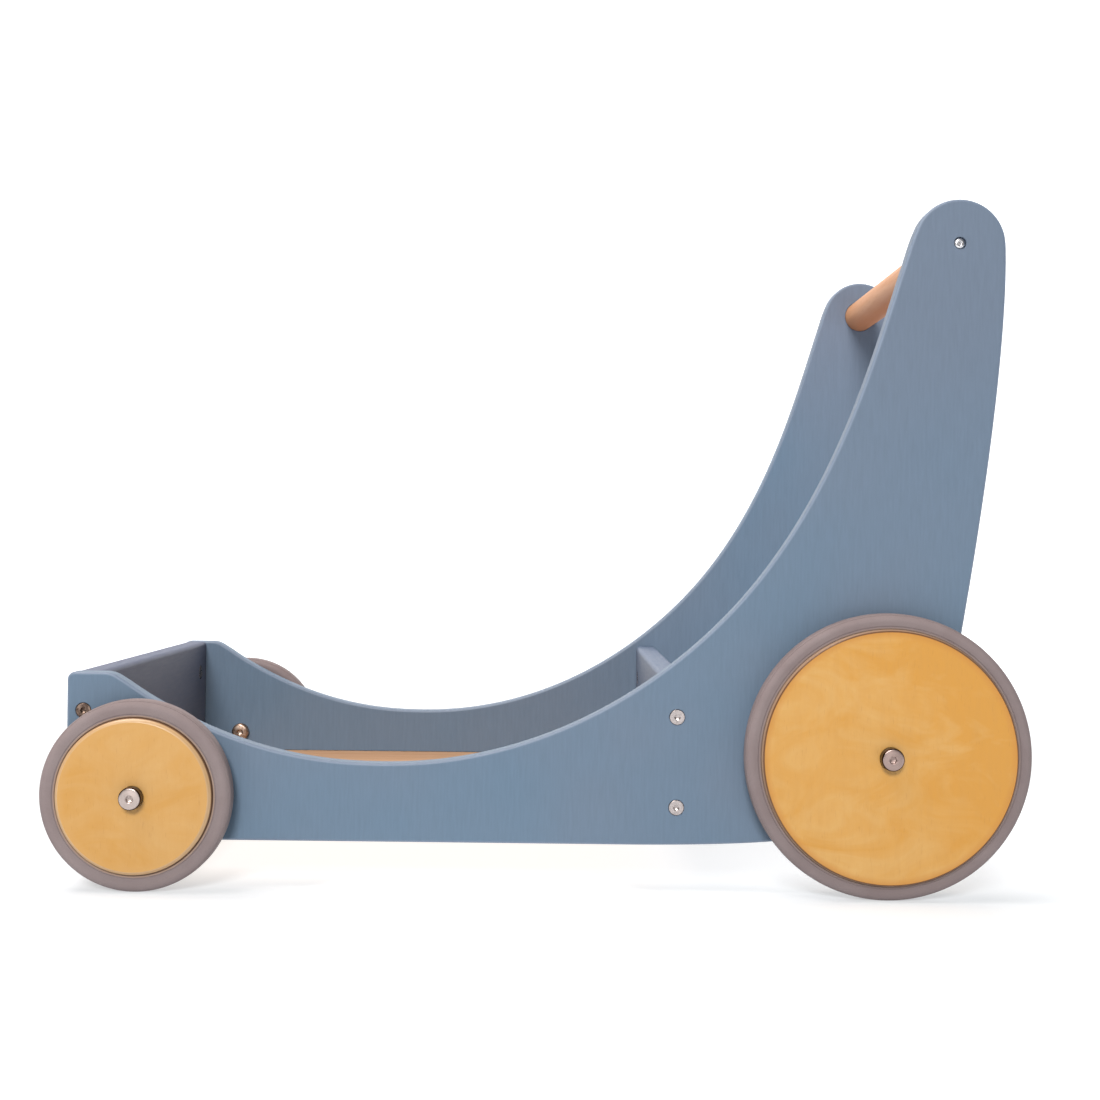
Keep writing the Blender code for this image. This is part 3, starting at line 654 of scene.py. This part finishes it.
def make_panels(paints):
    """The side panels in their paints, with rounded edges, countersinks, sockets and the floor's groove."""
    for label, side in SIDES.items():
        node = f"side_panel_{label}"
        points, easing = panel_rim(node)
        outline = smooth_outline(points)
        stations = []
        for face, direction in ((INNER_FACE, 1), (OUTER_FACE, -1)):
            steps = range(EASING_STEPS + 1) if direction > 0 else range(EASING_STEPS, -1, -1)
            for step in steps:
                turn = math.pi / 2 * step / EASING_STEPS
                stations.append((easing * (1 - math.sin(turn)),
                                 face + direction * easing * (1 - math.cos(turn))))
        bm = bmesh.new()
        rings = []
        for inset, across in stations:
            loop = []
            for place, way in outline:
                spot = place - inset * Vector((way.y, -way.x))
                loop.append(bm.verts.new((spot.x, side * across, spot.y)))
            rings.append(loop)
        for lower, upper in zip(rings, rings[1:]):
            for index in range(len(outline)):
                after = (index + 1) % len(outline)
                bm.faces.new((lower[index], lower[after], upper[after], upper[index]))
        bm.faces.new(rings[0])
        bm.faces.new(rings[-1])
        cutter = bmesh.new()
        for end in ENDS:
            axle = centre(f"{end}_{label}_tyre")
            bore = SLEEVE_RADIUS + GAP
            turned(cutter, [(0, -CUT_PAST), (bore, -CUT_PAST), (bore, PANEL_THICKNESS + CUT_PAST),
                            (0, PANEL_THICKNESS + CUT_PAST)], HEAD_SIDES,
                   matrix=outward(side, axle.x, axle.z, INNER_FACE))
            for row in ROWS:
                low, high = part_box(f"{end}_board_bolt_{label}_{row}")
                head = (high.z - low.z) / 2 + GAP
                hole = BOLT_RADIUS + GAP
                turned(cutter, [(0, -CUT_PAST), (head, -CUT_PAST), (head, BOLT_RIM), (hole, BOLT_HEAD_DEPTH),
                                (hole, PANEL_THICKNESS + CUT_PAST), (0, PANEL_THICKNESS + CUT_PAST)],
                       HEAD_SIDES,
                       matrix=inward(side, (low.x + high.x) / 2, (low.z + high.z) / 2, OUTER_FACE))
        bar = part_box("push_bar")
        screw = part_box(f"push_bar_screw_{label}")
        seat = OUTER_FACE - max(abs(screw[0].y), abs(screw[1].y)) + BAR_SCREW_HEAD_HEIGHT + GAP
        socket_floor = OUTER_FACE - bar[1].y - GAP
        socket = (bar[1].z - bar[0].z) / 2 + GAP
        hole = BAR_SCREW_RADIUS + GAP
        middle = centre("push_bar")
        turned(cutter, [(0, -CUT_PAST), (BAR_COUNTERBORE, -CUT_PAST), (BAR_COUNTERBORE, seat), (hole, seat),
                        (hole, socket_floor), (socket, socket_floor), (socket, PANEL_THICKNESS + CUT_PAST),
                        (0, PANEL_THICKNESS + CUT_PAST)], HEAD_SIDES,
               matrix=inward(side, middle.x, middle.z, OUTER_FACE))
        floor_low, floor_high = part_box("floor_board")
        across = sorted((side * (INNER_FACE - CUT_PAST), side * (floor_high.y + GAP)))
        box(cutter, (floor_low.x - GAP, across[0], floor_low.z - GAP),
            (floor_high.x + GAP, across[1], floor_high.z + GAP))
        piece(node, bm, paints[label], cutter=cutter)


def make_boards(paints):
    """The front and rear boards in their paints, with rounded edges, bolt holes and the floor's groove."""
    floor_low, floor_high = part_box("floor_board")
    for end in ENDS:
        node = f"{end}_board"
        low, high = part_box(node)
        outline = []
        for x, z, to_x, to_z, easing, start in (
                (low.x, high.z, 1, -1, BOARD_TOP_EASING, 180), (high.x, high.z, -1, -1, BOARD_TOP_EASING, 90),
                (high.x, low.z, -1, 1, BOARD_BASE_EASING, 0), (low.x, low.z, 1, 1, BOARD_BASE_EASING, -90)):
            outline += round_corner(x + to_x * easing, z + to_z * easing, easing, start, start - 90)
        bm = bmesh.new()
        near = [bm.verts.new((x, low.y, z)) for x, z in outline]
        far = [bm.verts.new((x, high.y, z)) for x, z in outline]
        for index in range(len(outline)):
            after = (index + 1) % len(outline)
            bm.faces.new((near[index], near[after], far[after], far[index]))
        bm.faces.new(near)
        bm.faces.new(far)
        groove_start, groove_end = floor_low.x - GAP, high.x + CUT_PAST
        if end == "rear":
            groove_start, groove_end = low.x - CUT_PAST, floor_high.x + GAP
        cutter = bmesh.new()
        box(cutter, (groove_start, low.y - CUT_PAST, floor_low.z - GAP),
            (groove_end, high.y + CUT_PAST, floor_high.z + GAP))
        for label, side in SIDES.items():
            for row in ROWS:
                nut = f"{end}_board_nut_{label}_{row}"
                nut_low, nut_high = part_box(nut)
                at = centre(nut)
                reach = (nut_high.z - nut_low.z) / 2 + GAP
                depth = nut_high.x - nut_low.x + GAP
                face, turn = (high.x, -math.pi / 2) if end == "front" else (low.x, math.pi / 2)
                turned(cutter, [(0, -CUT_PAST), (reach, -CUT_PAST), (reach, depth), (0, depth)], HEAD_SIDES,
                       matrix=Matrix.Translation((face, at.y, at.z)) @ Matrix.Rotation(turn, 4, "Y"))
                hole = BOLT_RADIUS + GAP
                length = high.y - abs(at.y)
                turned(cutter, [(0, -CUT_PAST), (hole, -CUT_PAST), (hole, length), (0, length)], HEAD_SIDES,
                       matrix=inward(side, centre(f"{end}_board_bolt_{label}_{row}").x, at.z, high.y))
        piece(node, bm, paints[end], cutter=cutter)


def make_bar(wood, steel):
    """The push bar and the sunk screws at its ends."""
    low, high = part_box("push_bar")
    radius = (high.z - low.z) / 2
    half = high.y
    middle = centre("push_bar")
    screw_end = min(abs(corner.y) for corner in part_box("push_bar_screw_right")) - GAP
    hole = BAR_SCREW_RADIUS + GAP
    half_profile = [(0, screw_end), (hole, screw_end), (hole, half)]
    half_profile += round_corner(radius - BAR_END_EASING, half - BAR_END_EASING, BAR_END_EASING, 90, 0)
    profile = half_profile + [(reach, -height) for reach, height in reversed(half_profile)]
    bm = bmesh.new()
    turned(bm, profile, BAR_SIDES, matrix=outward(1, middle.x, middle.z, 0))
    piece("push_bar", bm, wood)
    for label, side in SIDES.items():
        node = f"push_bar_screw_{label}"
        low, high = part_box(node)
        face = max(abs(low.y), abs(high.y))
        length = high.y - low.y
        key = BAR_SCREW_KEY_RADIUS
        profile = [(0, key), (key, key, KEY_SIDES), (key, KEY_CHAMFER, KEY_SIDES), (key + KEY_CHAMFER, 0)]
        for index in range(1, EASING_STEPS + 1):
            share = index / EASING_STEPS
            reach = key + KEY_CHAMFER + (BAR_SCREW_HEAD_RADIUS - key - KEY_CHAMFER) * share
            profile.append((reach, BAR_SCREW_CROWN * share**2))
        profile += [(BAR_SCREW_HEAD_RADIUS, BAR_SCREW_HEAD_HEIGHT), (BAR_SCREW_RADIUS, BAR_SCREW_HEAD_HEIGHT),
                    (BAR_SCREW_RADIUS, length), (0, length)]
        bm = bmesh.new()
        turned(bm, profile, HEAD_SIDES)
        piece(node, bm, steel, matrix=inward(side, middle.x, middle.z, face))


def make_board_fasteners(steels, nut_steel):
    """Countersunk bolts, in the steel of their end of the wagon, and the slotted nuts that hold them."""
    for end in ENDS:
        for label, side in SIDES.items():
            for row in ROWS:
                node = f"{end}_board_bolt_{label}_{row}"
                low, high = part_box(node)
                at = centre(node)
                head = (high.z - low.z) / 2
                length = high.y - low.y
                key = BOLT_KEY_RADIUS
                profile = [(0, BOLT_KEY_DEPTH + KEY_POINT_SHARE * key), (key, BOLT_KEY_DEPTH, KEY_SIDES),
                           (key, KEY_CHAMFER, KEY_SIDES), (key + KEY_CHAMFER, 0), (head - BOLT_RIM, 0),
                           (head, BOLT_RIM), (BOLT_RADIUS, BOLT_HEAD_DEPTH), (BOLT_RADIUS, length),
                           (0, length)]
                bm = bmesh.new()
                turned(bm, profile, HEAD_SIDES)
                piece(node, bm, steels[end], matrix=inward(side, at.x, at.z, OUTER_FACE))
                bolt_x = at.x
                node = f"{end}_board_nut_{label}_{row}"
                low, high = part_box(node)
                at = centre(node)
                radius = (high.z - low.z) / 2
                length = high.x - low.x
                turn = math.pi / 2 if end == "front" else -math.pi / 2
                bm = bmesh.new()
                turned(bm, [(0, -length / 2), (radius, -length / 2), (radius, length / 2 - BOLT_RIM),
                            (radius - BOLT_RIM, length / 2), (0, length / 2)], HEAD_SIDES)
                cutter = bmesh.new()
                box(cutter, (-radius - CUT_PAST, -NUT_SLOT_WIDTH / 2, length / 2 - NUT_SLOT_DEPTH),
                    (radius + CUT_PAST, NUT_SLOT_WIDTH / 2, length / 2 + CUT_PAST))
                hole, past = BOLT_RADIUS + GAP, radius + CUT_PAST
                along = (bolt_x - at.x) * math.sin(turn)
                turned(cutter, [(0, -past), (hole, -past), (hole, past), (0, past)], HEAD_SIDES,
                       matrix=Matrix.Translation((0, 0, along)) @ Matrix.Rotation(math.pi / 2, 4, "X"))
                piece(node, bm, nut_steel, cutter=cutter,
                      matrix=Matrix.Translation(at) @ Matrix.Rotation(turn, 4, "Y"))


def bevel(radius, width, bulge, face, way):
    """Profile points of a slightly rounded bevel, from a disc's rim to a face that looks the given way."""
    points = []
    for index in range(EASING_STEPS + 1):
        share = index / EASING_STEPS
        swell = bulge * math.sin(math.pi * share)
        points.append((radius - width * share + swell, face - way * (DISC_BEVEL_DEPTH * (1 - share) - swell)))
    return points


def disc_profile(end, radius, bore, back, front):
    """Closed profile of a front or rear wheel disc, by distance out from its panel."""
    form = (radius, DISC_BEVEL_WIDTHS[end], DISC_BULGES[end])
    return [(bore + DISC_BORE_EASING, back), *reversed(bevel(*form, back, -1)),
            *bevel(*form, front, 1), (bore + DISC_BORE_EASING, front),
            (bore, front - DISC_BORE_EASING), (bore, back + DISC_BORE_EASING)]


def tyre_profile(radius, seat, back, front):
    """Closed profile of a tyre: a lip at the disc, a groove, flat sides, shoulders with a moulding line."""
    middle = (back + front) / 2
    half = (front - back) / 2
    fall = half - TREAD_WIDTH / 2
    groove = seat + LIP_WIDTH
    side = [(seat, half - LIP_EASING), (seat + LIP_EASING, half), (groove, half),
            (groove + SIDE_GROOVE_WIDTH / 2, half - SIDE_GROOVE_DEPTH), (groove + SIDE_GROOVE_WIDTH, half)]
    for index in range(SHOULDER_STEPS + 1):
        turn = math.pi / 2 * index / SHOULDER_STEPS
        place = Vector((radius - SHOULDER_RISE * (1 - math.sin(turn)), half - fall * (1 - math.cos(turn))))
        if index == LINE_STEP:
            along = LINE_WIDTH * Vector((math.cos(turn), -math.sin(turn)))
            inside = place - LINE_DEPTH * Vector((math.sin(turn), math.cos(turn)))
            side += [place - along, inside, place + along]
        else:
            side.append(place)
    profile = [(reach, middle + across) for reach, across in side]
    profile += [(reach, middle - across) for reach, across in reversed(side)]
    return profile


def extent(node):
    """The radius of a round node beside a panel, and its distances out from the panel's outer face."""
    low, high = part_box(node)
    near, far = sorted((abs(low.y) - OUTER_FACE, abs(high.y) - OUTER_FACE))
    return (high.z - low.z) / 2, near, far


def make_wheels(birches, rubbers, nylon):
    """The four wheels: discs and tyres in the birch and rubber of their end of the wagon, and hub bushes."""
    for end in ENDS:
        for label, side in SIDES.items():
            wheel = f"{end}_{label}"
            body = f"{wheel}_wheel"
            axle = centre(f"{wheel}_tyre")
            hub = outward(side, axle.x, axle.z, OUTER_FACE)
            bush_radius, bush_back, bush_front = extent(f"{wheel}_hub_bush")
            bush_bore = SLEEVE_RADIUS + GAP
            disc_radius, disc_back, disc_front = extent(f"{wheel}_wheel_disc")
            tyre_radius, tyre_back, tyre_front = extent(f"{wheel}_tyre")
            bm = bmesh.new()
            profile = disc_profile(end, disc_radius, bush_radius + GAP, disc_back, disc_front)
            turned(bm, profile, WHEEL_SIDES, ring=True)
            piece(f"{wheel}_wheel_disc", bm, birches[end], body, hub)
            bm = bmesh.new()
            profile = tyre_profile(tyre_radius, disc_radius + TYRE_GAP, tyre_back, tyre_front)
            turned(bm, profile, WHEEL_SIDES, ring=True)
            piece(f"{wheel}_tyre", bm, rubbers[end], body, hub)
            bm = bmesh.new()
            turned(bm, [(bush_bore, bush_back), (bush_radius, bush_back), (bush_radius, bush_front),
                        (bush_bore, bush_front)], HEAD_SIDES, ring=True)
            piece(f"{wheel}_hub_bush", bm, nylon, body, hub)


def make_axles(steels, inner_steel, nylon):
    """The spacers, the sleeves in the steel of their end of the wagon, and the bolts that hold them."""
    for end in ENDS:
        for label, side in SIDES.items():
            wheel = f"{end}_{label}"
            axle = centre(f"{wheel}_tyre")
            hub = outward(side, axle.x, axle.z, OUTER_FACE)
            _, _, disc_front = extent(f"{wheel}_wheel_disc")
            radius, back, front = extent(f"{wheel}_spacer")
            bore = SLEEVE_RADIUS + GAP
            bm = bmesh.new()
            turned(bm, [(bore, back), (radius - BOLT_RIM, back), (radius, back + BOLT_RIM),
                        (radius, front - BOLT_RIM), (radius - BOLT_RIM, front), (bore, front)],
                   HEAD_SIDES, ring=True)
            piece(f"{wheel}_spacer", bm, nylon, "frame", hub)
            bolt_head, bolt_face, bolt_end = extent(f"{wheel}_axle_bolt")
            head, back, front = extent(f"{wheel}_axle_sleeve")
            thread = AXLE_BOLT_RADIUS + GAP
            key = AXLE_KEY_RADIUS
            corner = round_corner(head - HEAD_EASING, front - HEAD_CROWN - HEAD_EASING,
                                  HEAD_EASING, 0, HEAD_EASING_TURN)
            bm = bmesh.new()
            turned(bm, [(0, bolt_end + GAP), (thread, bolt_end + GAP), (thread, back), (SLEEVE_RADIUS, back),
                        (SLEEVE_RADIUS, disc_front + GAP), (head, disc_front + GAP), *corner,
                        (key + KEY_CHAMFER, front), (key, front - KEY_CHAMFER, KEY_SIDES),
                        (key, front - AXLE_KEY_DEPTH, KEY_SIDES),
                        (0, front - AXLE_KEY_DEPTH - KEY_POINT_SHARE * key)], HEAD_SIDES)
            piece(f"{wheel}_axle_sleeve", bm, steels[end], "frame", hub)
            seat = bolt_face + AXLE_BOLT_HEAD_HEIGHT
            corner = round_corner(bolt_head - AXLE_BOLT_EASING, bolt_face + HEAD_CROWN + AXLE_BOLT_EASING,
                                  AXLE_BOLT_EASING, 0, -HEAD_EASING_TURN)
            bm = bmesh.new()
            turned(bm, [(0, bolt_end), (AXLE_BOLT_RADIUS, bolt_end), (AXLE_BOLT_RADIUS, seat),
                        (bolt_head, seat), *corner, (key + KEY_CHAMFER, bolt_face),
                        (key, bolt_face + KEY_CHAMFER, KEY_SIDES),
                        (key, bolt_face + AXLE_KEY_DEPTH, KEY_SIDES),
                        (0, bolt_face + AXLE_KEY_DEPTH + KEY_POINT_SHARE * key)], HEAD_SIDES)
            piece(f"{wheel}_axle_bolt", bm, inner_steel, "frame", hub)


def make_stage():
    """A glowing white sweep, a pale world, three soft boxes and the camera."""
    scene = bpy.context.scene
    bm = bmesh.new()
    outline = [(SWEEP_FRONT, 0.0), (SWEEP_START, 0.0)]
    for index in range(1, SWEEP_STEPS + 1):
        turn = math.pi / 2 * index / SWEEP_STEPS
        outline.append((SWEEP_START + SWEEP_RADIUS * math.sin(turn), SWEEP_RADIUS * (1 - math.cos(turn))))
    outline.append((SWEEP_START + SWEEP_RADIUS, SWEEP_HEIGHT))
    left = [bm.verts.new((-SWEEP_HALF, y, z)) for y, z in outline]
    right = [bm.verts.new((SWEEP_HALF, y, z)) for y, z in outline]
    for index in range(len(outline) - 1):
        bm.faces.new((left[index], right[index], right[index + 1], left[index + 1]))
    mesh = bpy.data.meshes.new("sweep")
    bm.to_mesh(mesh)
    bm.free()
    mesh.shade_smooth()
    sweep = bpy.data.objects.new("sweep", mesh)
    scene.collection.objects.link(sweep)
    look = Look("sweep_white", 0.0)
    look.shader.inputs["Base Color"].default_value = SWEEP_COLOUR
    look.shader.inputs["Roughness"].default_value = SWEEP_ROUGHNESS
    look.shader.inputs["Emission Color"].default_value = (1.0, 1.0, 1.0, 1.0)
    away = look.node("ShaderNodeVectorMath", {0: look.place()}, operation="LENGTH").outputs["Value"]
    at = look.node("ShaderNodeSeparateXYZ", {0: look.place()}).outputs
    aside = look.math("ABSOLUTE", at["Y"], 0.0)
    axles = {end: centre(f"{end}_right_tyre").x for end in ENDS}
    glow = look.spread(away, *FAR_GLOW_REACH, FLOOR_GLOW, FAR_GLOW)
    for rise, fall, left_over, across, strength in FLOOR_PATCHES:
        up, down = [[axles[end] + offset for offset in ramp] for end, *ramp in (rise, fall)]
        along = look.math("MINIMUM", look.spread(at["X"], *up), look.spread(at["X"], *down, 1.0, left_over))
        share = look.math("MULTIPLY", along, look.spread(aside, *across, 1.0, 0.0))
        glow = look.math("MAXIMUM", glow, look.spread(share, 0.0, 1.0, FLOOR_GLOW, strength))
    look.feed("Emission Strength", glow)
    mesh.materials.append(look.material)

    world = bpy.data.worlds.new("studio")
    scene.world = world
    world.use_nodes = True
    background = world.node_tree.nodes["Background"]
    background.inputs["Color"].default_value = WORLD_COLOUR
    rays = world.node_tree.nodes.new("ShaderNodeLightPath")
    strength = world.node_tree.nodes.new("ShaderNodeMapRange")
    strength.inputs["To Min"].default_value = WORLD_LIGHT
    strength.inputs["To Max"].default_value = WORLD_WHITE
    world.node_tree.links.new(rays.outputs["Is Camera Ray"], strength.inputs["Value"])
    world.node_tree.links.new(strength.outputs[0], background.inputs["Strength"])

    for name, at, size, power, colour, glossy in SOFT_BOXES:
        light = bpy.data.lights.new(name, "AREA")
        light.shape = "DISK"
        light.size = size
        light.energy = power
        light.color = colour
        lamp = bpy.data.objects.new(name, light)
        lamp.visible_glossy = glossy
        lamp.location = at
        lamp.rotation_euler = (Vector(LIGHT_AIM) - Vector(at)).to_track_quat("-Z", "Y").to_euler()
        scene.collection.objects.link(lamp)

    lens = bpy.data.cameras.new("camera")
    lens.sensor_width = CAMERA_SENSOR
    lens.lens = CAMERA_LENS
    lens.shift_x, lens.shift_y = CAMERA_SHIFT
    camera = bpy.data.objects.new("camera", lens)
    camera.matrix_world = (Matrix.Translation(CAMERA_AT) @ Matrix.Rotation(math.pi / 2, 4, "X")
                           @ Matrix.Rotation(CAMERA_ROLL, 4, "Z"))
    scene.collection.objects.link(camera)
    scene.camera = camera
    scene.view_settings.view_transform = "Standard"


def dress_floor(plywood):
    """Give the floor board, which stays as the frame has it, its material."""
    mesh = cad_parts["floor_board"].data
    mesh.materials.clear()
    mesh.materials.append(plywood)


def main():
    """Make the materials, every finished piece and the stage."""
    panel_paints = {}
    for label, tints in PANEL_PAINTS.items():
        _, easing = panel_rim(f"side_panel_{label}")
        panel_paints[label] = painted_wood(f"painted_{label}_panel", PANEL_GRAIN, *tints, easing=easing)
    board_paints = {}
    birches = {}
    rubbers = {}
    hub_steels = {}
    for end in ENDS:
        low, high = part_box(f"{end}_board")
        outer = (low.x + OUTER_DEPTH, low.x) if end == "front" else (high.x - OUTER_DEPTH, high.x)
        board_paints[end] = painted_wood(f"painted_{end}_board", BOARD_GRAIN, *BOARD_SHADED_PAINTS[end], outer=outer)
        disc_radius, _, _ = extent(f"{end}_left_wheel_disc")
        birches[end] = lacquered_birch(f"{end}_birch", disc_radius, DISC_BEVEL_WIDTHS[end], **BIRCHES[end])
        lip_radius = disc_radius + TYRE_GAP + LIP_WIDTH
        dark, pale, lip_bounce_share = RUBBERS[end]
        rubbers[end] = tyre_rubber(f"{end}_tyre_rubber", dark, pale, lip_radius, lip_bounce_share)
        head_radius, _, _ = extent(f"{end}_left_axle_sleeve")
        hub_steels[end] = turned_steel(f"{end}_hub_steel", *HUB_STEELS[end], head_radius)
    # Lit and shaded copies of the nickel: painted highlight, dark reflection and shade, and plywood
    # reflection
    nickels = {name: nickel_steel(name, *finish) for name, finish in NICKELS.items()}
    # The front bolts take the darker nickel, a painted dark reflection
    board_steels = {"front": nickels["dark_reflection_steel"], "rear": nickels["nickel_steel"]}
    nylon = white_nylon()
    make_panels(panel_paints)
    make_boards(board_paints)
    dress_floor(floor_plywood())
    make_bar(beech(), nickels["bright_reflection_steel"])
    make_board_fasteners(board_steels, nickels["dark_reflection_steel"])
    make_wheels(birches, rubbers, nylon)
    make_axles(hub_steels, nickels["plywood_reflection_steel"], nylon)
    make_stage()


main()
